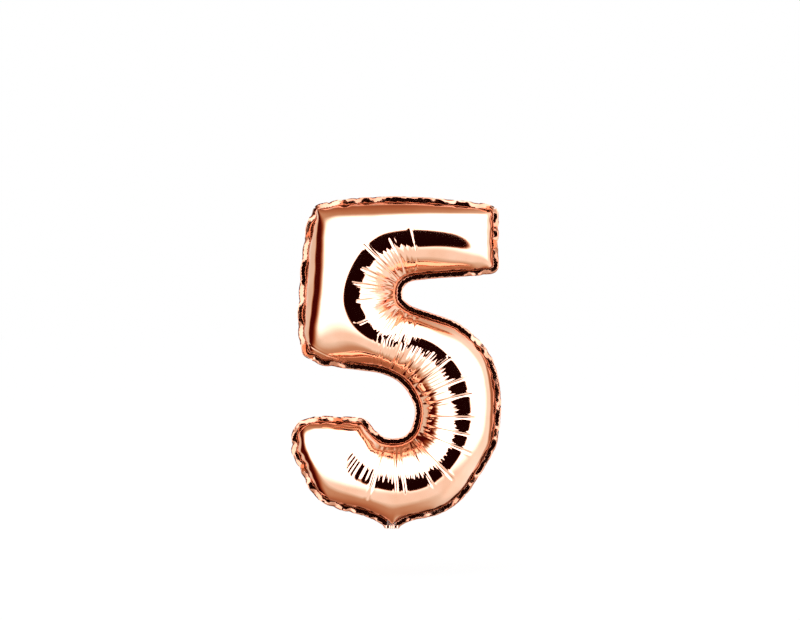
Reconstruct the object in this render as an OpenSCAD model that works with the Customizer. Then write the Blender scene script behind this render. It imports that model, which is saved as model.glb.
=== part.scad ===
// Foil number balloon in the shape of a 5, inflated. Two foil sheets are welded
// together round their rim. Air goes in by a flat tail at the neck, through a
// self-closing valve of two clear films, and the tail then folds up behind.
// X runs to the reader's right, Z is up and the front faces -Y. The two foils
// meet in the plane y = 0. The origin is under the middle of the balloon, level
// with the underside of the tail's fold.

/* [Numeral] */
// Height of the inflated numeral, from the tip of the neck to the top seam
numeral_h = 623; // [350:1:900]
// Width of the inflated numeral, between its outermost seams
numeral_w = 383; // [220:1:560]
// Thickness of the inflated stem, front to back
numeral_depth = 161; // [60:1:220]
// Thickness of each foil wall
foil_t = 0.4; // [0.3:0.05:0.8]

/* [Welded rim] */
// Width of the flat welded rim outside the seam
rim_w = 13; // [6:0.5:18]
// Thickness of the welded rim, both foils together
rim_t = 0.8; // [0.6:0.1:2]
// How far the weld reaches inside the seam, under the foot of each foil
weld_land = 1.2; // [0.9:0.1:3]

/* [Hang holes] */
// Diameter of the punched hang holes in the two top corners
hang_hole_d = 3; // [2:0.1:4]
// Distance from the corner of the seam to the hole's centre
hang_hole_out = 7.5; // [5:0.5:9]

/* [Neck and tail] */
// Height of the neck's tip above the tail's fold
neck_rise = 7; // [4:0.5:14]
// Length of the tail, from its fold to its mouth
tail_len = 78; // [40:1:110]
// Width of the tail, side welds included
tail_w = 40; // [28:1:60]
// Width of the tail where it is gathered at the fold
tail_root_w = 27; // [24:1:27]
// Length over which the gathered root widens to the full tail
tail_root_len = 13; // [8:1:25]
// Width of the weld down each side of the tail
tail_weld_w = 4; // [2:0.5:6]
// Gap between the tail's root and the fold line
fold_gap = 0.3; // [0.2:0.1:0.6]
// Gap between the folded tail and the back foil that it leans on
rest_gap = 0.5; // [0.3:0.1:1]

/* [Valve] */
// Width of the two valve films
valve_w = 25; // [16:1:25]
// Width of the films where they cross the weld of the neck
valve_neck_w = 18; // [10:1:18]
// How far the valve reaches up into the balloon, from the fold
valve_reach = 120; // [60:1:130]
// How far the films stop short of the tail's mouth
valve_setback = 9; // [4:1:20]
// Gap between the two films that the release ink keeps open
channel_t = 0.2; // [0.1:0.05:0.3]
// Length of the printed release ink, from the neck's weld upwards
ink_len = 19; // [12:1:40]

/* [Hidden] */

// The numeral is one broad stroke. Each station across it gives the seam point
// on the outer side of the bar and stem, the seam point on the other side, and
// how full the stroke is there: 1 is the full depth. Millimetres, with the
// neck's tip at height 0, for a numeral of the nominal size.
nominal_h = 623;
nominal_w = 383;
stations = [
    [185, 607, 185, 497, 0.46], [135, 614, 135, 493, 0.54], [84, 619, 85, 490, 0.65],
    [36, 622, 46, 487, 0.76], [-13, 623, 22, 482, 0.87], [-61, 621, 9, 473, 0.94],
    [-109, 617, 2, 464, 0.98], [-154, 609, -1, 455, 1.00], [-167, 551, -1, 447, 1.00],
    [-173, 493, -1, 439, 1.00], [-177, 435, 1, 432, 0.98], [-179, 377, 7, 424, 0.92],
    [-171, 333, 22, 413, 0.83], [-140, 321, 40, 406, 0.79], [-92, 314, 76, 394, 0.75],
    [-58, 310, 97, 387, 0.72], [-26, 304, 116, 378, 0.71], [10, 288, 148, 352, 0.72],
    [32, 265, 172, 321, 0.73], [46, 236, 186, 278, 0.75], [48, 210, 190, 228, 0.76],
    [42, 184, 184, 166, 0.77], [35, 173, 170, 135, 0.77], [26, 164, 153, 106, 0.77],
    [14, 158, 133, 76, 0.78], [1, 155, 106, 48, 0.78], [-12, 155, 72, 30, 0.78],
    [-26, 157, 33, 22, 0.78], [-36, 162, 11, 15, 0.77], [-46, 170, -9, 0, 0.77],
    [-57, 183, -31, 18, 0.76], [-67, 195, -70, 33, 0.74], [-92, 197, -102, 40, 0.70],
    [-120, 198, -130, 50, 0.62], [-145, 198, -152, 67, 0.52], [-166, 196, -166, 91, 0.42],
    [-181, 190, -179, 118, 0.33], [-190, 178, -191, 143, 0.25]];
// Stations where each side turns a sharp corner
corners_a = [7, 12, 31];
corners_b = [29];
// Rings added between two stations, and steps across the stroke
rings_per_station = 2;
steps_across = 12;
// Share of the end stations over which the stroke rounds down to its end
end_round = 0.8;
// Sharpness of the stroke's cross-section: 1 is an ellipse
crown = 1.15;
// Steepest slope at which the foil rises out of a sharp corner of the seam
corner_slope = 1.1;

kx = numeral_w / nominal_w;
kz = numeral_h / nominal_h;
side_a = [for (s = stations) [s[0] * kx, s[1] * kz]];
side_b = [for (s = stations) [s[2] * kx, s[3] * kz]];
fullness = [for (s = stations) s[4]];
sharp_corners = concat([side_a[0], side_b[0]], [for (c = corners_a) side_a[c]],
    [for (c = corners_b) side_b[c]]);
last_station = len(stations) - 1;
rings = last_station * rings_per_station;

// A smooth curve through points p at place s, broken at the listed corners
function blend(p0, p1, p2, p3, u) = 0.5 * (2 * p1 + (p2 - p0) * u
    + (2 * p0 - 5 * p1 + 4 * p2 - p3) * u * u + (3 * p1 - p0 - 3 * p2 + p3) * u * u * u);
function is_corner(i, corners) = len([for (c = corners) if (c == i) c]) > 0;
function along(p, s, corners) =
    let (i = min(floor(s), last_station - 1), a = p[i], b = p[i + 1],
        before = i == 0 || is_corner(i, corners) ? 2 * a - b : p[i - 1],
        after = i + 1 == last_station || is_corner(i + 1, corners) ? 2 * b - a : p[i + 2])
    blend(before, a, b, after, s - i);

// The seam as one closed loop, anticlockwise seen from the front
ring_s = [for (i = [0 : rings]) i / rings_per_station];
seam = concat([for (s = ring_s) along(side_a, s, corners_a)],
    [for (i = [rings : -1 : 0]) along(side_b, ring_s[i], corners_b)]);
// The seam moved outwards by d, each corner mitred
function unit(v) = v / norm(v);
function grown(loop, d) = [for (i = [0 : len(loop) - 1])
    let (n = len(loop), p = loop[i], u = unit(p - loop[(i + n - 1) % n]),
        v = unit(loop[(i + 1) % n] - p), m = unit([-u[1] - v[1], u[0] + v[0]]))
    p - m * d / max(0.6, m * [-u[1], u[0]])];
rim_edge = grown(seam, rim_w);
weld_edge = grown(seam, -weld_land);

// The folded tail leans back from upright until it rests on the back foil
tail_t = rim_t / 2 + foil_t;
neck_x = side_b[corners_b[0]][0];
tail_lean = max([for (p = sheet(0)) if (abs(p[0] - neck_x) < tail_w) let (up = p[2] + neck_rise)
    atan2(-p[1], up) + asin(min(1, (tail_t + rest_gap) / norm([p[1], up])))]);
// The fold line lies under the neck, high enough for the leaning tail's root
fold_z = tail_t * sin(tail_lean) - fold_gap * cos(tail_lean);
// The rim ends above the tail's root, clear of it folded up and while it swings
root_swing = norm([tail_t, fold_gap]);
rim_foot = fold_z + max(root_swing + fold_gap,
    (tail_t + fold_gap + rim_t / 2 * cos(tail_lean)) / sin(tail_lean));
mid_x = (min([for (p = rim_edge) p[0]]) + max([for (p = rim_edge) p[0]])) / 2;
neck = [neck_x - mid_x, 0, fold_z];
film_t = (rim_t - channel_t) / 2;
body_shift = [-mid_x, 0, fold_z + neck_rise];
rose_gold = "#d79a7c";
rose_gold_back = "#c98d70";
clear_film = "#e9f1f4";
ink_white = "#f6f6f2";

// One sheet of points over the stroke, set in by d from the seam all round.
// Each ring runs from one seam to the other, crowned like an ellipse and
// pinched down towards the sharp corners.
function sheet(d) = [for (i = [0 : rings], j = [0 : steps_across])
    let (shift = d / norm(side_a[1] - side_a[0]), s = ring_s[i] + shift * (1 - 2 * i / rings),
        a = along(side_a, s, corners_a), b = along(side_b, s, corners_b), across = unit(b - a),
        turn = 180 * j / steps_across, from_end = min(s, last_station - s) - shift,
        taper = from_end > end_round ? 1 : sqrt(max(0, 1 - pow(1 - from_end / end_round, 2))),
        full = fullness[floor(s)] + (s - floor(s))
            * (fullness[min(floor(s) + 1, last_station)] - fullness[floor(s)]),
        p = a + across * (d + (norm(b - a) - 2 * d) * (1 - cos(turn)) / 2),
        dome = (full * numeral_depth / 2 - rim_t / 2 - d) * taper * pow(sin(turn), crown),
        pinched = corner_slope * min([for (c = sharp_corners) norm(p - c)]) - d,
        rise = max(0, min(dome, pinched)))
    [p[0], -rim_t / 2 - rise, p[1]]];

// A domed foil wall: an outer sheet, an inner sheet and the foot between them
module foil_wall() {
    row = steps_across + 1;
    sheet_n = (rings + 1) * row;
    foot = concat([for (j = [0 : steps_across]) j],
        [for (i = [1 : rings]) i * row + steps_across],
        [for (j = [steps_across - 1 : -1 : 0]) rings * row + j],
        [for (i = [rings - 1 : -1 : 1]) i * row]);
    // Each quad is cut along the diagonal that leans towards the nearest end corner
    quads = [for (i = [0 : rings - 1], j = [0 : steps_across - 1])
        let (a = i * row + j, b = a + row, near = (i < rings / 2) == (j < steps_across / 2))
        near ? [a, a + 1, b + 1, b] : [b, a, a + 1, b + 1]];
    foot_quads = [for (k = [0 : len(foot) - 1]) let (a = foot[k], b = foot[(k + 1) % len(foot)])
        [b, a, a + sheet_n, b + sheet_n]];
    outer = [for (q = quads, half = [0, 2]) [q[half], q[half + 1], q[(half + 2) % 4]]];
    inner = [for (f = outer) [f[0] + sheet_n, f[2] + sheet_n, f[1] + sheet_n]];
    feet = [for (q = foot_quads, half = [0, 2]) [q[half], q[half + 1], q[(half + 2) % 4]]];
    translate(body_shift)
        polyhedron(points = concat(sheet(0), sheet(foil_t)), faces = concat(outer, inner, feet));
}

// Stands a flat outline up in the plane y = 0 and gives it a thickness
module upright(from_y, to_y) {
    translate([0, to_y, 0])
        rotate([90, 0, 0])
            linear_extrude(height = to_y - from_y)
                children();
}

// The valve films above the fold: gathered at the neck, full width above it
module valve_outline() {
    top = fold_z + valve_reach;
    wide_z = fold_z + neck_rise + rim_w + tail_root_len;
    translate([neck[0], 0])
        polygon([[-valve_neck_w / 2, rim_foot], [valve_neck_w / 2, rim_foot],
            [valve_neck_w / 2, wide_z - tail_root_len], [valve_w / 2, wide_z], [valve_w / 2, top],
            [-valve_w / 2, top], [-valve_w / 2, wide_z], [-valve_neck_w / 2, wide_z - tail_root_len]]);
}

// Places a piece of the hanging tail where the folded tail lies
module folded() {
    translate(neck)
        rotate([180 - tail_lean, 0, 0])
            children();
}

// A flat strip of the tail, hanging down from the fold: gathered at its root
module tail_outline(root_w, full_w, length) {
    polygon([[-root_w / 2, -fold_gap], [-full_w / 2, -tail_root_len], [-full_w / 2, -length],
        [full_w / 2, -length], [full_w / 2, -tail_root_len], [root_w / 2, -fold_gap]]);
}

module front_foil() {
    color(rose_gold) foil_wall();
}

module back_foil() {
    color(rose_gold_back) mirror([0, 1, 0]) foil_wall();
}

module seal_margin() {
    color(rose_gold)
        difference() {
            translate([body_shift[0], 0, body_shift[2]])
                upright(-rim_t / 2, rim_t / 2)
                    difference() {
                        polygon(rim_edge);
                        polygon(weld_edge);
                    }
            translate([neck[0] - tail_w, -rim_t, rim_foot - numeral_depth])
                cube([tail_w * 2, rim_t * 2, numeral_depth]);
            upright(-rim_t, rim_t) valve_outline();
            hang_hole(side_a[0], [1, 1]);
            hang_hole(side_a[corners_a[0]], [-1, 1]);
        }
}

// A punched hole, out from a corner of the seam along its diagonal
module hang_hole(corner, outward) {
    at = corner + unit(outward) * hang_hole_out;
    translate([at[0] + body_shift[0], 0, at[1] + body_shift[2]])
        rotate([90, 0, 0])
            cylinder(d = hang_hole_d, h = rim_t * 3, center = true, $fn = 48);
}

module valve_front_film() {
    color(clear_film) upright(-rim_t / 2, -channel_t / 2) valve_outline();
}

module valve_back_film() {
    color(clear_film) upright(channel_t / 2, rim_t / 2) valve_outline();
}

// The ink keeps the two films from welding together where they cross the rim
module valve_release_ink() {
    color(ink_white)
        upright(-channel_t / 2, channel_t / 2)
            translate([neck[0] - valve_neck_w / 2, rim_foot])
                square([valve_neck_w, ink_len]);
}

// One foil of the tail, hanging: a flat sheet with a weld down each side that
// meets the other foil in the middle plane
module tail_foil() {
    difference() {
        upright(-tail_t, 0) tail_outline(tail_root_w, tail_w, tail_len);
        upright(-rim_t / 2, rim_t)
            tail_outline(tail_root_w - 2 * tail_weld_w, tail_w - 2 * tail_weld_w, tail_len * 2);
    }
}

module tail_front_foil() {
    color(rose_gold) folded() tail_foil();
}

module tail_back_foil() {
    color(rose_gold_back) folded() mirror([0, 1, 0]) tail_foil();
}

module tail_valve_film(from_y, to_y) {
    color(clear_film)
        folded()
            upright(from_y, to_y)
                tail_outline(valve_neck_w, valve_w, tail_len - valve_setback);
}

module tail_valve_front_film() {
    tail_valve_film(-rim_t / 2, -channel_t / 2);
}

module tail_valve_back_film() {
    tail_valve_film(channel_t / 2, rim_t / 2);
}

front_foil();
back_foil();
seal_margin();
valve_front_film();
valve_back_film();
valve_release_ink();
tail_front_foil();
tail_back_foil();
tail_valve_front_film();
tail_valve_back_film();
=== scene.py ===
# %% [markdown]
# # A foil number balloon, rose gold
#
# The balloon is two flat sheets of metallised nylon film, cut to the same
# outline and welded together along their edge. Gas blows them up into fat
# rounded strokes, and because foil can't stretch, it has to pleat, crease and
# scallop wherever the flat cut is longer than the path it is pulled along.
# Those folds are most of what the eye reads as "foil". So this lesson doesn't
# sculpt the balloon: it finds the flat cut, blows it up and lets it fold.
#
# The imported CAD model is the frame. Everything is in metres, in its place.

import math
import bmesh
import bpy
import numpy as np
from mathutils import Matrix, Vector
from mathutils.bvhtree import BVHTree
from mathutils.geometry import delaunay_2d_cdt


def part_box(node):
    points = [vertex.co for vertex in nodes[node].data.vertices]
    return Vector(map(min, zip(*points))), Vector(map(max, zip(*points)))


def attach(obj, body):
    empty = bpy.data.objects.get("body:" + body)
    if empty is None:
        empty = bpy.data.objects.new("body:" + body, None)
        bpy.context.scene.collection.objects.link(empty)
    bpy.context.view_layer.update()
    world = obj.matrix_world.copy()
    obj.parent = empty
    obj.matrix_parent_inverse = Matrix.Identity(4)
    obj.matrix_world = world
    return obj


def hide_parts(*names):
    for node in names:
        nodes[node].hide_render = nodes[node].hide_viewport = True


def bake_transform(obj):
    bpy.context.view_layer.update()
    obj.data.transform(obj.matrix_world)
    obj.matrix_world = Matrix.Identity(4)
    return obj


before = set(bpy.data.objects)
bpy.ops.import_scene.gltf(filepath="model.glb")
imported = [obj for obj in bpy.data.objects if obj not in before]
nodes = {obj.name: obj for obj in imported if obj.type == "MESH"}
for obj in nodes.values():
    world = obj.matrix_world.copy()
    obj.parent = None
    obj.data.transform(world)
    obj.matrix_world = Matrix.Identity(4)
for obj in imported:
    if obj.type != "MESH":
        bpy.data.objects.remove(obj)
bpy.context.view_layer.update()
bpy.ops.object.select_all(action="DESELECT")
MM = 0.001
print("frame loaded,", len(nodes), "nodes")

# %% [markdown]
# ## Camera
#
# The view is straight on, level with a point a little above the middle of the
# numeral, through a long lens, so the strokes keep their real proportions.

# %% Camera
VIEW_DISTANCE = 3.5
VIEW_WIDTH = 1.548
VIEW_POINT = (0.0073, 0.0, 0.4231)

camera_data = bpy.data.cameras.new("camera")
camera_data.sensor_width = 36
camera_data.lens = camera_data.sensor_width * VIEW_DISTANCE / VIEW_WIDTH
camera = bpy.data.objects.new("camera", camera_data)
camera.location = (VIEW_POINT[0], -VIEW_DISTANCE, VIEW_POINT[2])
camera.rotation_euler = (math.radians(90), 0, 0)
bpy.context.scene.collection.objects.link(camera)
bpy.context.scene.camera = camera
bpy.context.scene.view_settings.view_transform = "Standard"
print("lens", round(camera_data.lens, 1), "mm")

# %% [markdown]
# ## Two small tools for materials
#
# Colours are written the way a colour picker shows them, in sRGB hex, and
# Blender's shaders want linear light, so one function turns one to the other.
# The other adds a node, with its settings and its links, in one line.

# %% Colour and node helpers
def linear(hex_colour):
    """Turns an sRGB hex colour to the linear RGBA that shaders take."""
    parts = [int(hex_colour[i:i + 2], 16) / 255 for i in (1, 3, 5)]
    return tuple(c / 12.92 if c <= 0.04045 else ((c + 0.055) / 1.055) ** 2.4
                 for c in parts) + (1.0,)


def add_node(tree, kind, settings=None, stops=None, **inputs):
    """Adds a node. An input is a plain value, or an output to link from. An
    input called i0, i1 and so on goes by its number. stops are a ramp's."""
    new = tree.nodes.new(kind)
    for key, value in (settings or {}).items():
        setattr(new, key, value)
    for number, (position, colour) in enumerate(stops or []):
        marks = new.color_ramp.elements
        mark = marks[number] if number < 2 else marks.new(position)
        mark.position, mark.color = position, colour
    for key, value in inputs.items():
        numbered = key[0] == "i" and key[1:].isdigit()
        socket = new.inputs[int(key[1:]) if numbered else key.replace("_", " ")]
        if isinstance(value, bpy.types.NodeSocket):
            tree.links.new(value, socket)
        else:
            socket.default_value = value
    return new.outputs[0] if len(new.outputs) else new

# %% [markdown]
# ## Studio
#
# Mirror foil shows nothing but what is around it, so the room is the look. The
# balloon faces a broad white softbox with a dark gap in its middle, where the
# camera looks through. Below it lies a dimmer, warmer reflector. The left side
# of the room is unlit up to a pale strip far round, and the right side fades
# slowly. Dim parts of the room are rosy, since they are lit by the balloon's own
# glow. The room is drawn in the world by direction, as degrees right of and
# above the camera's line, so that it has no edge too near to be soft. Only
# mirror reflections see it: matt things get plain light, and the camera white.

# %% A world to draw the room in
world = bpy.data.worlds.new("studio")
bpy.context.scene.world = world
world.use_nodes = True
sky = world.node_tree
sky.nodes.clear()
direction = add_node(sky, "ShaderNodeTexCoord")
apart = add_node(sky, "ShaderNodeSeparateXYZ", i0=direction).node
known = dict(zip(("east", "north", "up"), apart.outputs))
print("directions come as", list(known))

# %% What stands where: the level of light, from 0 to 1
# Each row names a number, says how it is made and from what. FADE goes
# smoothly from one value to another. Places are in degrees from the camera's line.
room_steps = [
    # the angle from the camera's line, shared out to the right and upwards
    ("facing", "MULTIPLY", "north", -1.0),
    ("angle", "ARCCOSINE", "facing"),
    ("turned", "MULTIPLY", "angle", 180 / math.pi),
    ("x", "MULTIPLY", "east", "east"),
    ("z", "MULTIPLY", "up", "up"),
    ("aside", "ADD", "x", "z"),
    ("aside", "SQRT", "aside"),
    ("aside", "MAXIMUM", "aside", 1e-4),
    ("x", "DIVIDE", "east", "aside"),
    ("z", "DIVIDE", "up", "aside"),
    ("right", "MULTIPLY", "turned", "x"),
    ("above", "MULTIPLY", "turned", "z"),
    # the softbox: an oval, less bright towards its foot
    ("x", "SUBTRACT", "right", 6.0),
    ("x", "DIVIDE", "x", 82.0),
    ("z", "SUBTRACT", "above", 4.0),
    ("z", "DIVIDE", "z", 84.0),
    ("x", "MULTIPLY", "x", "x"),
    ("z", "MULTIPLY", "z", "z"),
    ("oval", "ADD", "x", "z"),
    ("oval", "SQRT", "oval"),
    ("softbox", "FADE", "oval", 0.86, 1.08, 1.0, 0.0),
    ("its glow", "FADE", "above", -46.0, -20.0, 0.62, 0.98),
    # outside it: a dark left side with a pale strip far round, a slow fade right
    ("left strip", "FADE", "right", -106.0, -97.0, 0.56, 0.03),
    ("left edge", "FADE", "right", -84.0, -58.0, 0.0, 0.36),
    ("right side", "FADE", "right", 0.0, 60.0, 0.0, 0.26),
    ("right end", "FADE", "right", 106.0, 120.0, 0.0, 0.40),
    ("height", "ABSOLUTE", "above"),
    ("roof and floor", "FADE", "height", 70.0, 150.0, 0.0, 0.22),
    ("outside", "ADD", "left strip", "left edge"),
    ("outside", "ADD", "outside", "right side"),
    ("darker", "ADD", "roof and floor", "right end"),
    ("outside", "SUBTRACT", "outside", "darker"),
    ("outside", "MAXIMUM", "outside", 0.0),
    ("lit", "MULTIPLY", "softbox", "its glow"),
    ("not softbox", "SUBTRACT", 1.0, "softbox"),
    ("outside", "MULTIPLY", "not softbox", "outside"),
    ("level", "ADD", "lit", "outside"),
    # the dark gap in the middle, wider below than above
    ("wide", "MULTIPLY", "above", 0.35),
    ("wide", "SUBTRACT", 25.0, "wide"),
    ("x", "SUBTRACT", "right", 8.0),
    ("x", "DIVIDE", "x", "wide"),
    ("z", "SUBTRACT", "above", -1.0),
    ("z", "DIVIDE", "z", 33.0),
    ("x", "MULTIPLY", "x", "x"),
    ("z", "MULTIPLY", "z", "z"),
    ("oval", "ADD", "x", "z"),
    ("oval", "SQRT", "oval"),
    ("gap", "FADE", "oval", 0.92, 1.06, 0.0, 1.0),
    ("level", "MULTIPLY", "level", "gap"),
    # the wall behind the balloon, which only its back can mirror
    ("behind", "FADE", "turned", 128.0, 162.0, 0.0, 1.0),
    ("back wall", "FADE", "up", -0.35, 0.45, 0.50, 0.80),
    ("back wall", "MULTIPLY", "back wall", "behind"),
    ("ahead", "SUBTRACT", 1.0, "behind"),
    ("level", "MULTIPLY", "level", "ahead"),
    ("level", "ADD", "level", "back wall"),
]
for name, how, *values in room_steps:
    kind, settings = "ShaderNodeMath", {"operation": how}
    if how == "FADE":
        kind, settings = "ShaderNodeMapRange", {"interpolation_type": "SMOOTHSTEP"}
    inputs = {f"i{place}": known.get(value, value) for place, value in enumerate(values)}
    known[name] = add_node(sky, kind, settings, **inputs)
print("room drawn in", len(room_steps), "steps")

# %% Levels to colours, and who sees what
BRIGHTEST = 4.8
# Each tone is its level, and then linear red, green and blue. A ramp starts with
# two marks, so the darkest and the brightest tone come first.
tones = [(0.0, 0.014, 0.001, 0.001), (1.0, 3.7, 4.0, 4.8), (0.04, 0.10, 0.005, 0.003),
         (0.157, 0.35, 0.084, 0.033), (0.307, 0.61, 0.32, 0.19), (0.413, 0.77, 0.58, 0.44),
         (0.587, 1.08, 1.15, 1.15)]
room = add_node(sky, "ShaderNodeValToRGB", i0=known["level"], stops=[
    (t, (r / BRIGHTEST, g / BRIGHTEST, b / BRIGHTEST, 1.0)) for t, r, g, b in tones])
plain = add_node(sky, "ShaderNodeBackground", Color=(0.85, 0.85, 0.85, 1), Strength=1.0)
mirrored = add_node(sky, "ShaderNodeBackground", Color=room, Strength=BRIGHTEST)
white = add_node(sky, "ShaderNodeBackground", Color=(1, 1, 1, 1), Strength=1.0)
path = add_node(sky, "ShaderNodeLightPath").node
lit = add_node(sky, "ShaderNodeMixShader", i0=path.outputs["Is Glossy Ray"], i1=plain, i2=mirrored)
clear = add_node(sky, "ShaderNodeMath", {"operation": "MAXIMUM"},
                 i0=path.outputs["Is Camera Ray"], i1=path.outputs["Is Transmission Ray"])
add_node(sky, "ShaderNodeOutputWorld",
         Surface=add_node(sky, "ShaderNodeMixShader", i0=clear, i1=lit, i2=white))
print("world has", len(sky.nodes), "nodes")

# %% Floor and lamp
FLOOR_DROP = 100 * MM       # room for the tail when it hangs
FLOOR_WIDE = 60
OWN_SHARE = 0.88            # how much of the floor's look is its own white
LAMP_PLACE, LAMP_AIM = Vector((-0.8, -1.2, 2.6)), Vector((0, 0, 0.3))
bpy.ops.mesh.primitive_plane_add(size=FLOOR_WIDE, location=(0, 0, -FLOOR_DROP))
floor = bpy.context.object
floor.name = "floor"
floor.visible_glossy = False
paint = bpy.data.materials.new("matt white studio floor")
paint.use_nodes = True
tree = paint.node_tree
tree.nodes.clear()
matt = add_node(tree, "ShaderNodeBsdfDiffuse", Color=linear("#EDEDED"), Roughness=0.9)
glow = add_node(tree, "ShaderNodeEmission", Color=(1, 1, 1, 1), Strength=1.04)
path = add_node(tree, "ShaderNodeLightPath").node
share = add_node(tree, "ShaderNodeMath", {"operation": "MULTIPLY"},
                 i0=path.outputs["Is Camera Ray"], i1=OWN_SHARE)
add_node(tree, "ShaderNodeOutputMaterial",
         Surface=add_node(tree, "ShaderNodeMixShader", i0=share, i1=matt, i2=glow))
floor.data.materials.append(paint)

lamp_data = bpy.data.lights.new("softbox overhead", "AREA")
lamp_data.shape = "DISK"
lamp_data.size = 2.4
lamp_data.energy = 26
lamp = bpy.data.objects.new("softbox overhead", lamp_data)
lamp.location = LAMP_PLACE
lamp.rotation_euler = (LAMP_AIM - LAMP_PLACE).to_track_quat("-Z", "Y").to_euler()
lamp.visible_glossy = False
bpy.context.scene.collection.objects.link(lamp)
print("lamp", round((LAMP_AIM - LAMP_PLACE).length, 2), "m away")

# %% [markdown]
# ## The seam
#
# The weld that joins the two films is the one line on the balloon that stays
# in a plane. The CAD's front foil stands on it, so its foot gives the outline
# that the blown-up balloon has to have.

# %% Work on a closed line
def evenly(loop, step):
    """The closed line again, with points an even step apart."""
    along = np.r_[0, np.cumsum(np.linalg.norm(np.roll(loop, -1, 0) - loop, axis=1))]
    count = max(8, int(round(along[-1] / step)))
    at = np.arange(count) * along[-1] / count
    ring = np.vstack([loop, loop[:1]])
    return np.c_[np.interp(at, along, ring[:, 0]), np.interp(at, along, ring[:, 1])]


def softened(loop, reach):
    """Each value becomes the mean of its neighbours within reach steps."""
    return sum(np.roll(loop, i, 0) for i in range(-reach, reach + 1)) / (2 * reach + 1)


def outward(loop):
    """The unit normal of a closed line that runs anticlockwise."""
    tangent = np.roll(loop, -1, 0) - np.roll(loop, 1, 0)
    tangent /= np.linalg.norm(tangent, axis=1)[:, None]
    return np.c_[tangent[:, 1], -tangent[:, 0]]


# %% Read the seam outline from the CAD foil
SEAM_STEP = 2 * MM


def foot_outline(node):
    """The outer edge of the flat foot that a foil shell stands on, as (x, z)."""
    foot_deep = 0.02 * MM
    shell = bmesh.new()
    shell.from_mesh(node.data)
    bmesh.ops.remove_doubles(shell, verts=shell.verts, dist=1e-6)
    level = max(v.co.y for v in shell.verts) - foot_deep
    shell.faces.index_update()
    foot = [f for f in shell.faces if all(v.co.y > level for v in f.verts)]
    in_foot = {f.index for f in foot}
    rim = [e for f in foot for e in f.edges if sum(g.index in in_foot for g in e.link_faces) == 1]
    joined = {}
    for e in rim:
        a, b = e.verts
        joined.setdefault(a.index, []).append(b.index)
        joined.setdefault(b.index, []).append(a.index)
    place = {v.index: (v.co.x, v.co.z) for v in shell.verts}
    shell.free()
    loops, used = [], set()
    for first in joined:
        if first in used:
            continue
        loop = [first]
        used.add(first)
        while True:
            onward = [i for i in joined[loop[-1]] if i not in used]
            if not onward:
                break
            loop.append(onward[0])
            used.add(onward[0])
        loops.append(np.array([place[i] for i in loop]))
    return max(loops, key=lambda l: np.ptp(l[:, 1]) +
               np.linalg.norm(np.roll(l, -1, 0) - l, axis=1).sum())


seam = foot_outline(nodes["front_foil"])
if np.sum(seam[:, 0] * np.roll(seam[:, 1], -1) - np.roll(seam[:, 0], -1) * seam[:, 1]) < 0:
    seam = seam[::-1]
lowest = np.lexsort((seam[:, 0], np.round(seam[:, 1], 5)))[0]
seam = np.roll(seam, -lowest, 0)
seam = evenly(softened(evenly(seam, SEAM_STEP), 2), SEAM_STEP)
print("seam", len(seam), "points,", round(len(seam) * SEAM_STEP / MM), "mm round")

# %% [markdown]
# ## Meshing a flat cut
#
# A cut sheet becomes triangles: its outline is a chain of edges, a honeycomb of
# points fills it, and a constrained triangulation joins them. Even triangles
# fold the same way in every direction, as film does.

# %% Fill an outline with an even grid
ROW = 0.866                 # from row to row of a honeycomb, in steps
CLEAR = 0.6                 # how far the grid stays from an edge, in steps


def within(points, loop):
    """Which points lie inside a closed line."""
    inside = np.zeros(len(points), bool)
    for (x0, z0), (x1, z1) in zip(loop, np.roll(loop, -1, 0)):
        if z0 != z1:
            crossed = (z0 > points[:, 1]) != (z1 > points[:, 1])
            inside ^= crossed & (points[:, 0] < x0 + (points[:, 1] - z0) * (x1 - x0) / (z1 - z0))
    return inside


def honeycomb(loop, step):
    """Rows of points inside a closed line, every other row moved half a step."""
    low, high = loop.min(0), loop.max(0)
    across = np.arange(low[0], high[0], step)
    points = np.vstack([np.c_[across + (step / 2 if row % 2 else 0), np.full(len(across), z)]
                        for row, z in enumerate(np.arange(low[1], high[1], step * ROW))])
    return points[within(points, loop)]


def gap_to(points, loop):
    """The distance from each point to the nearest point of a line."""
    nearest = np.full(len(points), np.inf)
    for block in range(0, len(loop), 40):
        part = loop[block:block + 40]
        nearest = np.minimum(nearest, np.linalg.norm(points[:, None] - part[None], axis=2).min(1))
    return nearest


print("a 50 mm grid has", len(honeycomb(seam, 50 * MM)), "points inside the seam")

# %% Join the points into triangles
def triangulated(loops, extra):
    """Points and triangles that have the loops as edges. All turn the same way."""
    points, edges = np.vstack(loops + [extra]), []
    for loop in loops:
        first = edges[-1][0] + 1 if edges else 0
        edges += [(first + i, first + (i + 1) % len(loop)) for i in range(len(loop))]
    corners, _, faces = delaunay_2d_cdt([Vector(p) for p in points], edges, [], 1, 1e-9)[:3]
    flat_points = np.array([(c.x, c.y) for c in corners])
    if len(flat_points) != len(points):
        raise RuntimeError("the cut crosses itself")
    faces = np.array(faces)
    u = flat_points[faces[:, 1]] - flat_points[faces[:, 0]]
    v = flat_points[faces[:, 2]] - flat_points[faces[:, 0]]
    up = u[:, 0] * v[:, 1] - u[:, 1] * v[:, 0] > 0
    return flat_points, np.where(up[:, None], faces, faces[:, ::-1])

# %% [markdown]
# ## Finding the flat cut
#
# A balloon maker cuts the numeral taller and fatter than it looks when full,
# since a stroke draws in by a third as it fills, and shortens too. The cut is
# found the way a pattern maker finds it. Cut the sheets, weld them, blow them
# up with a cloth simulation, see where the seam lies beside the seam wanted,
# move the cut by part of the difference, and cut again. The film here pulls but
# hardly pushes, which stands for folds too fine for a coarse mesh.

# %% Blow a trial up
SIM_SCALE = 10              # the solver is happiest with things a few units across


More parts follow.
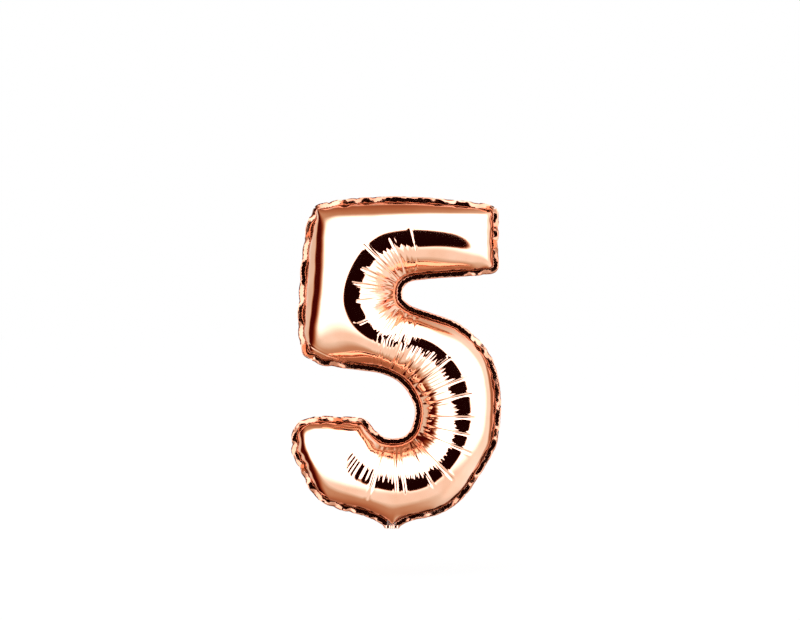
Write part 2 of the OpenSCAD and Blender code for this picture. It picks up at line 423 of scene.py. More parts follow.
def blown_up(verts, faces, frames=40):
    """Where the points of a two-layer sheet lie once it is full of gas."""
    mesh = bpy.data.meshes.new("trial")
    mesh.from_pydata((verts * SIM_SCALE).tolist(), [], faces.tolist())
    trial = bpy.data.objects.new("trial", mesh)
    scene = bpy.context.scene
    scene.collection.objects.link(trial)
    cloth = trial.modifiers.new("Cloth", "CLOTH")
    film = cloth.settings
    film.quality, film.mass, film.air_damping = 4, 0.3, 1
    film.bending_model = "ANGULAR"
    film.tension_stiffness, film.compression_stiffness = 50, 1
    film.shear_stiffness, film.bending_stiffness = 50, 0.05
    film.tension_damping = film.compression_damping = film.shear_damping = 5
    film.bending_damping = 0.5
    film.use_pressure, film.uniform_pressure_force = True, 12
    film.effector_weights.gravity = 0
    cloth.collision_settings.use_collision = False
    scene.frame_start = cloth.point_cache.frame_start = 1
    scene.frame_end = cloth.point_cache.frame_end = frames
    for step in range(1, frames + 1):
        scene.frame_set(step)
    result = trial.evaluated_get(bpy.context.evaluated_depsgraph_get())
    co = np.zeros(len(verts) * 3)
    result.data.vertices.foreach_get("co", co)
    bpy.data.objects.remove(trial)
    bpy.data.meshes.remove(mesh)
    return co.reshape(-1, 3) / SIM_SCALE


# %% Blow up, compare and cut again
COARSE = 14 * MM
ROUNDS = 15
FIRST_GUESS = 1.2           # the cut is at first the seam, this much bigger
BELIEVED = 0.4              # share of the miss that each new cut takes up


def read_at(curve, at, along):
    """Points of a closed line at given lengths along it."""
    ring = np.vstack([curve, curve[:1]])
    return np.c_[np.interp(at, along, ring[:, 0]), np.interp(at, along, ring[:, 1])]


cut = (seam - seam.mean(0)) * FIRST_GUESS + seam.mean(0)
for trial_round in range(ROUNDS):
    ring = evenly(cut, COARSE)
    welded = len(ring)
    fill = honeycomb(ring, COARSE)
    flat, tris = triangulated([ring], fill[gap_to(fill, ring) > COARSE * CLEAR])
    count = len(flat)
    order = np.arange(count)
    second = np.where(order < welded, order, order + count - welded)
    slack = (0.6 + 0.3 * np.random.default_rng(3).random(count)) * MM
    slack[:welded] = 0
    verts = np.vstack([np.c_[flat[:, 0], -slack, flat[:, 1]],
                       np.c_[flat[:, 0], slack, flat[:, 1]][welded:]])
    full = blown_up(verts, np.vstack([tris, second[tris][:, ::-1]]))
    along = np.r_[0, np.cumsum(np.linalg.norm(np.roll(cut, -1, 0) - cut, axis=1))]
    marks = np.linspace(0, along[-1], welded + 1)
    got = read_at(softened(full[:welded][:, [0, 2]], 1), along[:-1], marks)
    wish = read_at(softened(read_at(seam, marks[:-1], along), 1), along[:-1], marks)
    got_mid, wish_mid = got.mean(0), wish.mean(0)
    u, _, v = np.linalg.svd((got - got_mid).T @ (wish - wish_mid))
    turned = (u @ v).T
    miss = wish - ((got - got_mid) @ turned.T + wish_mid)
    if trial_round < ROUNDS - 1:
        cut = cut + BELIEVED * softened(miss, 8)
aligned = (full[:, [0, 2]] - got_mid) @ turned.T + wish_mid
full = np.c_[aligned[:, 0], full[:, 1], aligned[:, 1]]
bpy.context.scene.frame_set(1)
off_by = np.linalg.norm(miss, axis=1).mean() / MM
print("cut found, seam off by", round(off_by, 1), "mm on average")

# %% [markdown]
# ## A finer film with its margin
#
# The true film is now meshed finely, with the welded margin outside the seam.
# Both layers share the seam and the margin. It starts from the blown-up trial,
# carried over point by point, with the margin standing straight out.

# %% Scallops of the seam
LEFT_SCALLOP, SCALLOP = 36 * MM, 19 * MM        # from pleat to pleat
LEFT_EDGE, LEFT_FOOT = -0.13, 0.30              # where the long scallops are
SCALLOP_DEEP = 5 * MM
MEAN_SINE = 0.64                                # the mean of a row of sine arches


def scallops(line, seed):
    """How far the seam bows out, and where in its scallop each point is."""
    draw = np.random.default_rng(seed)
    step = np.linalg.norm(np.roll(line, -1, 0) - line, axis=1)
    heading = np.unwrap(np.arctan2(*(np.roll(line, -1, 0) - line).T[::-1]))
    calm_reach = int(24 * MM / step.mean())
    bend_by = softened(np.diff(heading, append=heading[0] + 2 * math.pi), calm_reach) / step.mean()
    # none in a bay, where the seam is pulled tight, and none at the neck
    plain = np.clip(1 + bend_by / 3.0, 0, 1)
    plain *= np.clip(np.hypot(line[:, 0] - neck_x, line[:, 1]) / (60 * MM) - 0.3, 0, 1)
    left = (line[:, 0] < LEFT_EDGE) & (line[:, 1] > LEFT_FOOT)
    pitch = np.where(left, LEFT_SCALLOP, SCALLOP)
    uneven = 1 + 0.35 * softened(draw.normal(size=len(line)), 9) * math.sqrt(19) * 0.5
    at = np.cumsum(step / (pitch * np.clip(uneven, 0.6, 1.5)))
    return SCALLOP_DEEP * plain * (np.abs(np.sin(math.pi * at)) - MEAN_SINE), at, plain


neck_x = (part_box("tail_front_foil")[0].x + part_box("tail_front_foil")[1].x) / 2
print("neck at", round(neck_x / MM, 1), "mm")

# %% Mesh the cut and its margin finely
FINE = 3.4 * MM
MARGIN = 13 * MM
ring = evenly(cut, FINE)
welded = len(ring)
smooth_cut = softened(evenly(cut, SEAM_STEP), 1)
edge = evenly(smooth_cut + MARGIN * outward(smooth_cut), FINE)
fill = honeycomb(edge, FINE)
fill = fill[gap_to(fill, np.vstack([ring, edge])) > FINE * CLEAR]
flat_fine, tris_fine = triangulated([ring, edge], fill)
tris_fine = tris_fine[within(flat_fine[tris_fine].mean(1), edge)]
in_dome = within(flat_fine, ring)
in_dome[:welded + len(edge)] = False
dome_face = in_dome[tris_fine].any(1) | within(flat_fine[tris_fine].mean(1), ring)
count_fine = len(flat_fine)
second_fine = np.arange(count_fine)
second_fine[in_dome] = count_fine + np.arange(in_dome.sum())
print("fine cut", count_fine, "points,", len(tris_fine), "triangles a layer")

# %% Carry the full shape to it
chart = BVHTree.FromPolygons([(x, 0, z) for x, z in flat], tris.tolist())


def carried(points, layer):
    """Where points of the flat cut lie on the blown-up trial."""
    placed = np.zeros((len(points), 3))
    for i, (x, z) in enumerate(points):
        spot, _, t, _ = chart.find_nearest((x, 0, z))
        a, b, c = flat[tris[t]]
        share = np.linalg.solve(np.c_[b - a, c - a], np.array((spot.x, spot.z)) - a)
        pa, pb, pc = full[layer[tris[t]]]
        placed[i] = pa + share[0] * (pb - pa) + share[1] * (pc - pa)
    return placed


shape = np.vstack([carried(flat_fine, np.arange(count)), carried(flat_fine[in_dome], second)])
along = np.r_[0, np.cumsum(np.linalg.norm(np.roll(cut, -1, 0) - cut, axis=1))]
wanted = read_at(seam, np.arange(welded) * along[-1] / welded, along)
bow, scallop_at, gathered_here = scallops(wanted, 8)
wanted = wanted + outward(softened(wanted, 2)) * bow[:, None]
wanted_out = outward(softened(wanted, 4))
in_margin = ~in_dome
in_margin[:welded] = False
margin_points = np.flatnonzero(in_margin)

# %% Stand the margin out, swaying to and fro with its scallops
CRUMPLE = 0.8           # mm, small and uneven
SWAY = 5 * MM           # at the rim's outer edge
root = np.array([np.argmin(((ring - flat_fine[i]) ** 2).sum(1)) for i in margin_points])
reach = np.linalg.norm(flat_fine[margin_points] - ring[root], axis=1)
chance = np.random.default_rng(5)
crumpled = softened(chance.normal(size=welded), 2) * math.sqrt(5)
sway = crumpled * CRUMPLE * MM * (0.15 + 0.85 * gathered_here)
sway += SWAY * gathered_here * np.sin(math.pi * scallop_at)
out_xz = wanted[root] + wanted_out[root] * reach[:, None]
shape[margin_points] = np.c_[out_xz[:, 0], sway[root] * reach / MARGIN, out_xz[:, 1]]
shape[:welded] = np.c_[wanted[:, 0], np.zeros(welded), wanted[:, 1]]
print("sways up to", round(float(np.abs(sway).max()) / MM, 1), "mm")

# %% [markdown]
# ## Letting the film fold
#
# Now the film may push back a little as well as pull, and it has a faint
# stiffness against bending, so spare length turns into real pleats. Blender's
# cloth would take its rest lengths from the shape it starts in, and these have
# to come from the flat cut, so the last step is a small solver of its own:
# every edge is a spring with its length on the cut, the gas pushes each
# triangle along its normal, and the motion is damped until it settles. The seam
# as a whole is held to its outline, and is free to scallop within it.

# %% Settle the film
FULL_STRAIN = 0.015     # how far the gas stretches the film
PUSH_BACK = 0.1         # share of the pull that the film has when pressed
BEND = 0.008            # stiffness against bending, as a share of that against pulling
MARGIN_STIFFER = 6      # two films welded together
STEPS = 500
HALF_DEEP = 80          # mm, roughly: the gas pulls the film by pressure times this
FILM_PER_SPRING = 0.87  # steps of film that each spring stands for
SPRINGS_AT_POINT = 6
HELD = 0.02             # share of the springs' strength that holds the seam's outline
DAMPED = 0.97           # speed left after each step


def settled(start, cut_xz, faces, gas_faces, step, steps, hold, hold_reach, free):
    """The film at rest under gas pressure. Lengths are in millimetres."""
    x = start.astype(np.float32)
    sides = np.sort(np.vstack([faces[:, [0, 1]], faces[:, [1, 2]], faces[:, [2, 0]]]), 1)
    edges, which = np.unique(sides, axis=0, return_inverse=True)
    one, two = edges[:, 0], edges[:, 1]
    rest = np.linalg.norm(cut_xz[one] - cut_xz[two], axis=1).astype(np.float32)
    which = which.reshape(3, -1)
    # how much each edge counts in a bend, from the angles opposite it
    grip = np.zeros(len(edges))
    for k, (p, q, r) in enumerate(((2, 0, 1), (0, 1, 2), (1, 2, 0))):
        u = cut_xz[faces[:, q]] - cut_xz[faces[:, p]]
        v = cut_xz[faces[:, r]] - cut_xz[faces[:, p]]
        twice_area = np.abs(u[:, 0] * v[:, 1] - u[:, 1] * v[:, 0])
        grip += np.bincount(which[k], (u * v).sum(1) / twice_area, len(edges))
    grip = np.clip(grip / 2, 0, 2).astype(np.float32)[:, None]
    # the edges and faces at each point, in a row, so that forces can be summed
    ends = np.r_[one, two]
    order = np.argsort(ends, kind="stable")
    edge_of = order % len(edges)
    sign = np.where(order < len(edges), 1, -1).astype(np.float32)[:, None]
    edge_from = np.searchsorted(ends[order], np.arange(len(x)))
    corner_order = np.argsort(gas_faces.ravel(), kind="stable")
    face_of = corner_order // 3
    filled, face_from = np.unique(gas_faces.ravel()[corner_order], return_index=True)
    pull = HALF_DEEP * step * FILM_PER_SPRING / FULL_STRAIN
    stiff = SPRINGS_AT_POINT * pull / step
    dt = 1.2 / math.sqrt(stiff * (1 + 16 * BEND * MARGIN_STIFFER))
    bend = BEND * pull / step
    held = len(hold)
    speed = np.zeros_like(x)
    for _ in range(steps):
        line = x[two] - x[one]
        length = np.sqrt((line * line).sum(1))
        spare = length - rest
        force = line * (pull / rest * spare * np.where(spare > 0, 1, PUSH_BACK).astype(np.float32)
                        / length)[:, None]
        push = np.add.reduceat(force[edge_of] * sign, edge_from)
        curl = np.add.reduceat((line * grip)[edge_of] * sign, edge_from) * free
        push -= bend * np.add.reduceat(((curl[two] - curl[one]) * grip)[edge_of] * sign, edge_from)
        a, b, c = x[gas_faces[:, 0]], x[gas_faces[:, 1]], x[gas_faces[:, 2]]
        push[filled] += np.add.reduceat((np.cross(b - a, c - a) / 6)[face_of], face_from)
        push[:held] -= HELD * stiff * softened(x[:held] - hold, hold_reach)
        speed = (speed + push * dt) * DAMPED
        x = x + speed * dt
    return x


# %% Run it on both layers and the margin
faces_fine = np.vstack([tris_fine, second_fine[tris_fine][:, ::-1]])
gas = np.vstack([tris_fine[dome_face], second_fine[tris_fine[dome_face]][:, ::-1]])
cut_fine = np.vstack([flat_fine, flat_fine[in_dome]]) / MM
unbent = np.ones((len(shape), 1), np.float32)
unbent[:count_fine][in_margin] = MARGIN_STIFFER
unbent[:welded + len(edge)] = 0
hold = np.c_[wanted[:, 0], np.zeros(welded), wanted[:, 1]].astype(np.float32) / MM
film = settled(shape / MM, cut_fine, faces_fine, gas, FINE / MM, STEPS, hold,
               max(1, int(4 * MM / FINE)), unbent) * MM
print("film settled,", [round(float(s) / MM) for s in np.ptp(film, axis=0)], "mm")

# %% [markdown]
# ## Fitting the film in its box, and the neck
#
# The CAD fixes the depth, so the film is brought to it. At the neck the margin
# is gathered flat, and is trimmed where the tail takes over.

# %% Fit
NECK_CALM, NECK_EASE = 12 * MM, 25 * MM     # how far round the neck the rim lies flat
CALM_SWAY = 0.08                            # what is left of its sway there


def eased(value, low, high):
    """0 below low and 1 above high, and a smooth step between."""
    t = np.clip((value - low) / (high - low), 0, 1)
    return t * t * (3 - 2 * t)


rim_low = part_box("seal_margin")[0].z
depth_now = float(np.ptp(film[:, 1]))
depth_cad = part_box("back_foil")[1].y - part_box("front_foil")[0].y
film[:, 1] *= depth_cad / depth_now
print("depth", round(depth_now / MM, 1), "to", round(depth_cad / MM, 1), "mm")
away = np.hypot(film[:count_fine, 0] - neck_x, film[:count_fine, 2])
kept_sway = CALM_SWAY + (1 - CALM_SWAY) * eased(away, NECK_CALM, NECK_CALM + NECK_EASE)
film[:count_fine, 1] *= np.where(in_margin, kept_sway, 1)

# %% [markdown]
# ## Fans of creases round the bays
#
# Round the inside of a bend the film has far too much length, and gathers into
# fans of fine creases that reach from the seam to just past the ridge, with a
# deeper one here and there that runs right across. They are finer than the
# solver's triangles, so the film is meshed twice as finely there, and each
# layer is pressed in and out along its normal.

# %% Mesh finer where the creases go
def normals_of(points, faces):
    """The unit normal at each point."""
    a, b, c = points[faces[:, 0]], points[faces[:, 1]], points[faces[:, 2]]
    flat_normal = np.cross(b - a, c - a)
    total = np.stack([np.bincount(faces.ravel(), np.repeat(flat_normal[:, k], 3), len(points))
                      for k in range(3)], 1)
    return total / np.maximum(np.linalg.norm(total, axis=1), 1e-12)[:, None]


def halved(points, uv, faces, chosen):
    """Splits the chosen triangles in four, and their neighbours to match. The
    new points bulge with the surface, so that it stays smooth."""
    bulge = 0.375
    normal = normals_of(points, faces)
    sides = np.sort(np.stack([faces[:, [0, 1]], faces[:, [1, 2]], faces[:, [2, 0]]], 1), 2)
    edges, which = np.unique(sides.reshape(-1, 2), axis=0, return_inverse=True)
    which = which.reshape(-1, 3)
    split = np.zeros(len(edges), bool)
    split[which[chosen].ravel()] = True
    new_at = np.where(split, len(points) + np.cumsum(split) - 1, -1)
    p, q = edges[split].T
    mid = (points[p] + points[q]) / 2
    for end in (p, q):
        mid = mid - bulge * ((mid - points[end]) * normal[end]).sum(1)[:, None] * normal[end]
    out = [faces[~split[which].any(1)]]
    marks = new_at[which]
    whole = split[which].all(1)
    f, m = faces[whole], marks[whole]
    out += [np.c_[f[:, 0], m[:, 0], m[:, 2]], np.c_[f[:, 1], m[:, 1], m[:, 0]],
            np.c_[f[:, 2], m[:, 2], m[:, 1]], m]
    for t in np.flatnonzero(split[which].any(1) & ~whole):
        f, m = list(faces[t]), list(marks[t])
        hits = [k for k in range(3) if m[k] >= 0]
        k = hits[0] if len(hits) == 1 else [j for j in range(3) if m[j] < 0][0]
        f, m = f[k:] + f[:k], m[k:] + m[:k]
        if len(hits) == 1:
            out.append(np.array([[f[0], m[0], f[2]], [m[0], f[1], f[2]]]))
        else:
            out.append(np.array([[f[0], f[1], m[1]], [f[0], m[1], m[2]], [m[2], m[1], f[2]]]))
    return np.vstack([points, mid]), np.vstack([uv, (uv[p] + uv[q]) / 2]), np.vstack(out)


# %% Find the bays, where the cut bends inwards
RIDGE = 90 * MM             # from a seam to the ridge of its stroke, on the cut
WIDEST_BAY, TIGHTEST_BAY = 0.4, 0.02        # radius of the bend, in metres
smooth_ring = softened(evenly(cut, SEAM_STEP), 6)
heading = np.unwrap(np.arctan2(*(np.roll(smooth_ring, -1, 0) - smooth_ring).T[::-1]))
bending = softened(-np.r_[np.diff(heading), 0], 6) / SEAM_STEP
in_bay = softened((bending > 1 / WIDEST_BAY).astype(float), 8) > 0.5
bay_points, bay_bend = smooth_ring[in_bay], np.clip(bending[in_bay], 0, 1 / TIGHTEST_BAY)
bay_weight = softened(in_bay.astype(float), 7)[in_bay]
spread = 1 + RIDGE * bay_bend
phase = np.cumsum(spread * SEAM_STEP)
print("bays", round(len(bay_points) * SEAM_STEP / MM), "mm of seam")


def bay_place(uv):
    """Distance to the bay seam, the length counted at the ridge, and weight."""
    full_weight, faded_by = 4 * MM, 8 * MM  # past the end of a bay
    gap, near = np.full(len(uv), np.inf), np.zeros(len(uv), int)
    for first in range(0, len(bay_points), 40):
        away_by = np.linalg.norm(uv[:, None] - bay_points[None, first:first + 40], axis=2)
        best = away_by.argmin(1)
        closer = away_by[np.arange(len(uv)), best] < gap
        gap = np.where(closer, away_by.min(1), gap)
        near = np.where(closer, first + best, near)
    tangent = np.gradient(bay_points, axis=0)
    tangent /= np.linalg.norm(tangent, axis=1)[:, None]
    beyond = ((uv - bay_points[near]) * tangent[near]).sum(1)
    run = phase[near] + beyond * (1 + RIDGE * bay_bend[near]) / (1 + gap * bay_bend[near])
    faded = np.exp(-(np.clip(np.abs(beyond) - full_weight, 0, None) / faded_by) ** 2)
    return gap, run, bay_weight[near] * faded

# %% Press the creases
CREASE_PITCH, CREASE_DEEP = 8 * MM, 1.2 * MM    # the fine ones, at the ridge
LONG_PITCH, LONG_WIDE = 33 * MM, 2.2 * MM       # the deeper ones that run across
FINE_FROM, FINE_FULL = 38 * MM, 72 * MM         # from the seam
LONG_FROM, LONG_FULL = 3 * MM, 24 * MM
DRAWN = 997                                     # more than there are fine creases


def fine_creases(gap, run, draw):
    wander = np.interp(run, np.linspace(0, phase[-1], 60), draw.normal(0, 2.2 * MM, 60))
    turn_at = (run + wander) / CREASE_PITCH
    teeth = np.floor(turn_at).astype(int) % DRAWN
    strength = draw.uniform(0.7, 1.0, DRAWN)[teeth]
    tip = RIDGE + draw.uniform(0, 22 * MM, DRAWN)[teeth]
    fine = (np.abs(np.sin(math.pi * turn_at)) - MEAN_SINE) * strength
    fine *= eased(gap, FINE_FROM, FINE_FULL) * (1 - eased(gap, tip - 16 * MM, tip + 3 * MM))
    return CREASE_DEEP * fine


def creases(uv, seed):
    """Height of the gathered film above the smooth film."""
    draw = np.random.default_rng(seed)
    gap, run, weight = bay_place(uv)
    height = fine_creases(gap, run, draw)
    count_long = max(3, int(phase[-1] / LONG_PITCH))
    places = np.arange(count_long) + draw.uniform(-0.3, 0.3, count_long)
    for line_at in places * LONG_PITCH + LONG_PITCH / 2:
        bowed = line_at + 1.5 * MM * np.sin(gap / (23 * MM))
        aside = np.abs(run - bowed) * (0.35 + 0.65 * np.clip(gap / RIDGE, 0, 1.3))
        end = RIDGE + draw.uniform(30, 58) * MM
        depth = draw.uniform(0.9, 1.6) * MM
        valley = np.exp(-(aside / LONG_WIDE) ** 2)
        lips = 0.45 * np.exp(-((aside - 4.5 * MM) / LONG_WIDE) ** 2)
        reached = eased(gap, LONG_FROM, LONG_FULL) * (1 - eased(gap, end - 16 * MM, end))
        height -= depth * (valley - lips) * reached
    return height * weight


def creased(points, uv, faces, seed):
    """The layer meshed finer where it is busy, and pressed into its creases."""
    gap, _, weight = bay_place(uv)
    busy = (gap > 34 * MM) & (gap < 114 * MM) & (weight > 0.05)
    busy |= np.abs(creases(uv, seed)) > 0.04 * MM
    points, uv, faces = halved(points, uv, faces, busy[faces].any(1))
    return points + normals_of(points, faces) * creases(uv, seed)[:, None], uv, faces


print("about", round(phase[-1] / CREASE_PITCH), "fine creases round the bays")

# %% [markdown]
# ## The pieces of the balloon
#
# The settled film is parted along the seam into the front film, the back film
# and the welded margin. Each gets a wall, so it is a closed thin shell.

# %% Give a film its wall
def mesh_piece(name, verts, uv, faces, wall, offset):
    """A film piece: its surface, a UV map in metres on the cut, and a wall."""
    used, faces = np.unique(faces, return_inverse=True)
    faces = faces.reshape(-1, 3)
    mesh = bpy.data.meshes.new(name)
    mesh.from_pydata(verts[used].tolist(), [], faces.tolist())
    layer = mesh.uv_layers.new(name="cut")
    layer.data.foreach_set("uv", uv[used][faces.ravel()].astype(np.float32).ravel())
    mesh.polygons.foreach_set("use_smooth", np.ones(len(faces), bool))
    mesh.update()
    piece = bpy.data.objects.new(name, mesh)
    bpy.context.scene.collection.objects.link(piece)
    bpy.ops.object.select_all(action="DESELECT")
    bpy.context.view_layer.objects.active = piece
    piece.select_set(True)
    solid = piece.modifiers.new("Wall", "SOLIDIFY")
    solid.thickness, solid.offset = wall, offset
    bpy.ops.object.modifier_apply(modifier=solid.name)
    piece.select_set(False)
    print(name, len(piece.data.vertices), "points")
    return piece


# %% Front film and back film
FILM_WALL = 0.1 * MM


uv_all = np.vstack([flat_fine, flat_fine[in_dome]])
dome_tris = tris_fine[dome_face]
front_film = mesh_piece("front_film", *creased(film, uv_all, dome_tris, 11), FILM_WALL, -1)
back_tris = second_fine[dome_tris][:, ::-1]
back_film = mesh_piece("back_film", *creased(film, uv_all, back_tris, 12), FILM_WALL, -1)

# %% Welded rim, left open where the neck comes out
RIM_WALL = 0.3 * MM
NECK_HALF, NECK_TALL = 13 * MM, 5.5 * MM
rim_uv = np.zeros((count_fine, 2))
step_on = along[-1] / welded
rim_uv[:welded, 0] = np.arange(welded) * step_on
rim_uv[margin_points] = np.c_[root * step_on, reach]
rim_tris = tris_fine[~dome_face]
rim_x, rim_z = film[rim_tris][:, :, 0], film[rim_tris][:, :, 2]
at_neck = (np.abs(rim_x - neck_x) < NECK_HALF) & (rim_z < NECK_TALL)
rim_tris = rim_tris[(rim_z > rim_low).all(1) & ~at_neck.all(1)]
welded_rim = mesh_piece("welded_rim", film[:count_fine], rim_uv, rim_tris, RIM_WALL, 0)

# %% Holes to hang the balloon by
HOLE_WIDE = 3 * MM
HOLES = ((-0.158766, 0.621675), (0.19084, 0.619675))        # as in the CAD's rim
for hole_x, hole_z in HOLES:
    rim_points = film[margin_points]
    nearest = rim_points[np.argmin(np.hypot(rim_points[:, 0] - hole_x, rim_points[:, 2] - hole_z))]
    bpy.ops.mesh.primitive_cylinder_add(vertices=24, radius=HOLE_WIDE / 2, depth=30 * MM,
                                        location=(hole_x, float(nearest[1]), hole_z),
                                        rotation=(math.radians(90), 0, 0))
    punch = bpy.context.object
    bpy.ops.object.select_all(action="DESELECT")
    bpy.context.view_layer.objects.active = welded_rim
    welded_rim.select_set(True)
    bite = welded_rim.modifiers.new("Punch", "BOOLEAN")
    bite.operation, bite.solver, bite.object = "DIFFERENCE", "EXACT", punch
    bpy.ops.object.modifier_apply(modifier=bite.name)
    welded_rim.select_set(False)
    bpy.data.objects.remove(punch)
    print("hole at", round(hole_x, 3), round(hole_z, 3), "rim has", len(welded_rim.data.vertices))

# %% [markdown]
# ## The tail and its valve
#
# Below the numeral the two films run on into a flat filling tail, which is
# folded up behind and out of sight. A one-way valve of two clear films lies
# between them. Each film is one strip that comes out of the neck, turns round
# the fold and runs up the back.

# %% Fold the strips
TAIL_LONG, TAIL_WIDE, TAIL_ROOT, ROOT_LONG = 78 * MM, 40 * MM, 27 * MM, 13 * MM
LEAN = math.radians(46.3957)        # of the folded tail, from straight up
FOLD_Z = 0.372 * MM
FOLD_HALF = 1 * MM                  # the fold turns over twice this length
NEAR_FOLD = 2.4                     # mm, where the rows lie closer
GATHER = 0.35 * MM
STRIP_WALL = 0.08 * MM


def strip(name, start, end, half_width, lift, ripple, rows):
    """A strip along the fold's path. lift moves it off the middle plane."""
    s_fine = np.linspace(start, end, 3000)
    heading = np.interp(s_fine, (-FOLD_HALF, FOLD_HALF), (math.pi, LEAN))
    ds = s_fine[1] - s_fine[0]
    y_fine = np.cumsum(np.sin(heading)) * ds
    z_fine = np.cumsum(np.cos(heading)) * ds
    middle = np.argmin(np.abs(s_fine))
    y_fine += 0.5 * MM - y_fine[middle]
    z_fine += FOLD_Z + 0.35 * MM - z_fine[middle]
    near = np.linspace(-NEAR_FOLD, NEAR_FOLD, 13) * MM
    stations = np.unique(np.r_[np.linspace(start, -NEAR_FOLD * MM, rows // 4), near,
                               np.linspace(NEAR_FOLD * MM, end, rows)])
    cols = np.linspace(-1, 1, 41)
    verts, uv = [], []
    for s in stations:
        y, z = np.interp(s, s_fine, y_fine), np.interp(s, s_fine, z_fine)
        turn_here = np.interp(s, s_fine, heading)
        normal = np.array([math.cos(turn_here), -math.sin(turn_here)])
        half = half_width(s)
        # crumpled at the fold, with a slow ripple further out; every layer alike
        gather = GATHER * math.exp(-(s / (9 * MM)) ** 2)
        slow = ripple * np.clip(s / (30 * MM), 0, 1)
        for c in cols:
            aside = c * half
            wave = gather * math.sin(aside / (0.8 * MM) + 1.3 * math.sin(aside / (2.7 * MM))) + \
                slow * math.sin(s / (9 * MM) + aside / (9 * MM))
            off = lift + wave
            verts.append((neck_x + aside, y + normal[0] * off, z + normal[1] * off))
            uv.append((aside, s))
    wide = len(cols)
    faces = []
    for r in range(len(stations) - 1):
        for c in range(wide - 1):
            a = r * wide + c
            quad = (a, a + 1, a + 1 + wide, a + wide)
            faces.append(quad if lift < 0 else quad[::-1])
    tris_of = np.array([t for q in faces for t in ((q[0], q[1], q[2]), (q[0], q[2], q[3]))])
    uv = np.array(uv)
    piece = mesh_piece(name, np.array(verts), uv, tris_of, STRIP_WALL, 0)
    wide_max = 2 * max(half_width(s) for s in stations)
    return piece


def foil_half(s):
    """Half the width of the tail's foil, s from the fold."""
    return np.interp(s, (0, ROOT_LONG), (TAIL_ROOT / 2, TAIL_WIDE / 2))


def valve_half(s):
    """Half the width of the valve film, narrowest where it passes the neck."""
    return np.interp(abs(s), (0, ROOT_LONG), (9 * MM, 12.5 * MM)) if s > 0 else \
        np.interp(-s, (20 * MM, 34 * MM), (9 * MM, 12.5 * MM))


tail_front_film = strip("tail_front_film", -6 * MM, TAIL_LONG, foil_half, 0.3 * MM, 0.15 * MM, 44)
tail_back_film = strip("tail_back_film", -6 * MM, TAIL_LONG, foil_half, -0.3 * MM, 0.15 * MM, 44)
valve_front = strip("valve_front_strip", -115 * MM, 69 * MM, valve_half, 0.1 * MM, 0.15 * MM, 40)
valve_back = strip("valve_back_strip", -115 * MM, 69 * MM, valve_half, -0.1 * MM, 0.15 * MM, 40)

# %% [markdown]
# ## Finishes
#
# The film is nylon a few hundredths of a millimetre thick, with a mirror of
# evaporated aluminium under a rose-gold lacquer. That is a metal to the eye:
# every reflection takes the lacquer's colour, and one that bounces twice between
# folds takes it twice, which is why creases look so red. The weld beside the
# seam is pressed by a heated wheel and is a little duller.

# %% Metallised film
PATCH_WIDE = 60 * MM        # of slow changes in the lacquer


def fresh_tree(name):
    """A material and its empty node tree."""
    material = bpy.data.materials.new(name)
    material.use_nodes = True
    material.node_tree.nodes.clear()
    return material, material.node_tree


def metal_film(name, base, deep, rough, buckle_size, buckle_depth):
    """Metallised film, on the piece's own map of the cut, in metres."""
    material, tree = fresh_tree(name)
    place = add_node(tree, "ShaderNodeUVMap", {"uv_map": "cut"})
    patches = add_node(tree, "ShaderNodeTexNoise", Vector=place, Scale=1 / PATCH_WIDE, Detail=3.0)
    colour = add_node(tree, "ShaderNodeValToRGB", i0=patches,
                      stops=[(0.35, linear(deep)), (0.65, linear(base))])
    haze = add_node(tree, "ShaderNodeMapRange", i0=patches, i1=0.3, i2=0.7,
                    i3=rough * 1.25, i4=rough * 0.8)
    buckles = add_node(tree, "ShaderNodeTexNoise", Vector=place, Scale=1 / buckle_size, Detail=2.0)
    bump = add_node(tree, "ShaderNodeBump", Height=buckles, Strength=0.5, Distance=buckle_depth)
    shader = add_node(tree, "ShaderNodeBsdfPrincipled", Base_Color=colour, Metallic=1.0,
                      Roughness=haze, Normal=bump)
    add_node(tree, "ShaderNodeOutputMaterial", Surface=shader)
    return material


ROSE_GOLD, ROSE_GOLD_DEEP = "#E7B497", "#E0A888"
WELD, WELD_DEEP = "#CB9072", "#A9694C"
mirror_film = metal_film("metallised nylon film, rose gold", ROSE_GOLD, ROSE_GOLD_DEEP,
                         rough=0.06, buckle_size=9 * MM, buckle_depth=0.03 * MM)
pressed_film = metal_film("heat welded film margin, rose gold", WELD, WELD_DEEP,
                          rough=0.13, buckle_size=5 * MM, buckle_depth=0.16 * MM)
tail_film = metal_film("metallised nylon film, folded tail", ROSE_GOLD, ROSE_GOLD_DEEP,
                       rough=0.09, buckle_size=6 * MM, buckle_depth=0.06 * MM)
print("film materials:", mirror_film.name, "/", pressed_film.name, "/", tail_film.name)

# %% [markdown]
# ## Valve film and ink
#
# The valve is blown polyethylene: clear, slightly milky, and finely crinkled by
# folding. The release ink between its films is a matt white print, chalky with
# the filler that keeps the weld from taking. Both are mostly hidden.

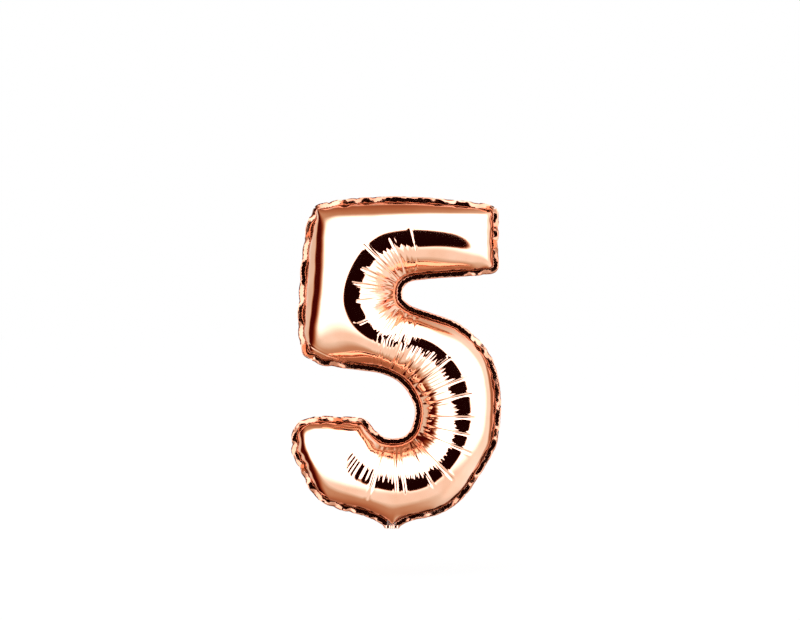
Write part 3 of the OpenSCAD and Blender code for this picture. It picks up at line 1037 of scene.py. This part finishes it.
# %% Valve film
CRINKLE_WIDE = 4 * MM
clear_film, tree = fresh_tree("clear polyethylene valve film")
place = add_node(tree, "ShaderNodeUVMap", {"uv_map": "cut"})
crinkle = add_node(tree, "ShaderNodeTexNoise", Vector=place, Scale=1 / CRINKLE_WIDE, Detail=2.0)
crinkled = add_node(tree, "ShaderNodeBump", Height=crinkle, Strength=0.4, Distance=0.1 * MM)
milky = add_node(tree, "ShaderNodeMapRange", i0=crinkle, i1=0.2, i2=0.8, i3=0.18, i4=0.3)
shader = add_node(tree, "ShaderNodeBsdfPrincipled", Base_Color=linear("#EEF0F0"), IOR=1.51,
                  Roughness=milky, Normal=crinkled, Transmission_Weight=0.75)
add_node(tree, "ShaderNodeOutputMaterial", Surface=shader)
print("made", clear_film.name)

# %% Release ink
GRAIN_WIDE = 1.2 * MM       # far coarser than the filler, so that it shows
ink, tree = fresh_tree("white heat-proof release ink")
place = add_node(tree, "ShaderNodeTexCoord").node.outputs["Object"]
dots = add_node(tree, "ShaderNodeTexNoise", Vector=place, Scale=1 / GRAIN_WIDE, Detail=3.0)
tone = add_node(tree, "ShaderNodeValToRGB", i0=dots,
                stops=[(0.3, linear("#E2E1DC")), (0.7, linear("#F4F3EF"))])
grain = add_node(tree, "ShaderNodeBump", Height=dots, Strength=0.3, Distance=0.02 * MM)
shader = add_node(tree, "ShaderNodeBsdfPrincipled", Base_Color=tone, Roughness=0.75, Normal=grain)
add_node(tree, "ShaderNodeOutputMaterial", Surface=shader)
print("made", ink.name)

# %% [markdown]
# ## Placing the pieces
#
# Each film takes the place of its plain CAD solid. The front film, the back film
# and the welded rim move with the balloon's body. The tail's and the valve's
# strips cross the fold, and are left where they are made, on no body.

# %% Finish and place every piece
plan = [
    (front_film, mirror_film, "foil", ["front_foil"]),
    (back_film, mirror_film, "foil", ["back_foil"]),
    (welded_rim, pressed_film, "foil_rim", ["seal_margin"]),
    (tail_front_film, tail_film, "foil_tail", ["tail_front_foil"]),
    (tail_back_film, tail_film, "foil_tail", ["tail_back_foil"]),
    (valve_front, clear_film, "valve_film", ["valve_front_film", "tail_valve_front_film"]),
    (valve_back, clear_film, "valve_film", ["valve_back_film", "tail_valve_back_film"]),
]
for piece, material, slot_name, stood_for in plan:
    piece.data.materials.clear()
    piece.data.materials.append(material)
    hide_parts(*stood_for)
    if piece in (front_film, back_film, welded_rim):
        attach(piece, "balloon")
    else:
        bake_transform(piece)
ink_node = nodes["valve_release_ink"]
ink_node.data.materials.clear()
ink_node.data.materials.append(ink)
print(len(plan), "pieces in place")
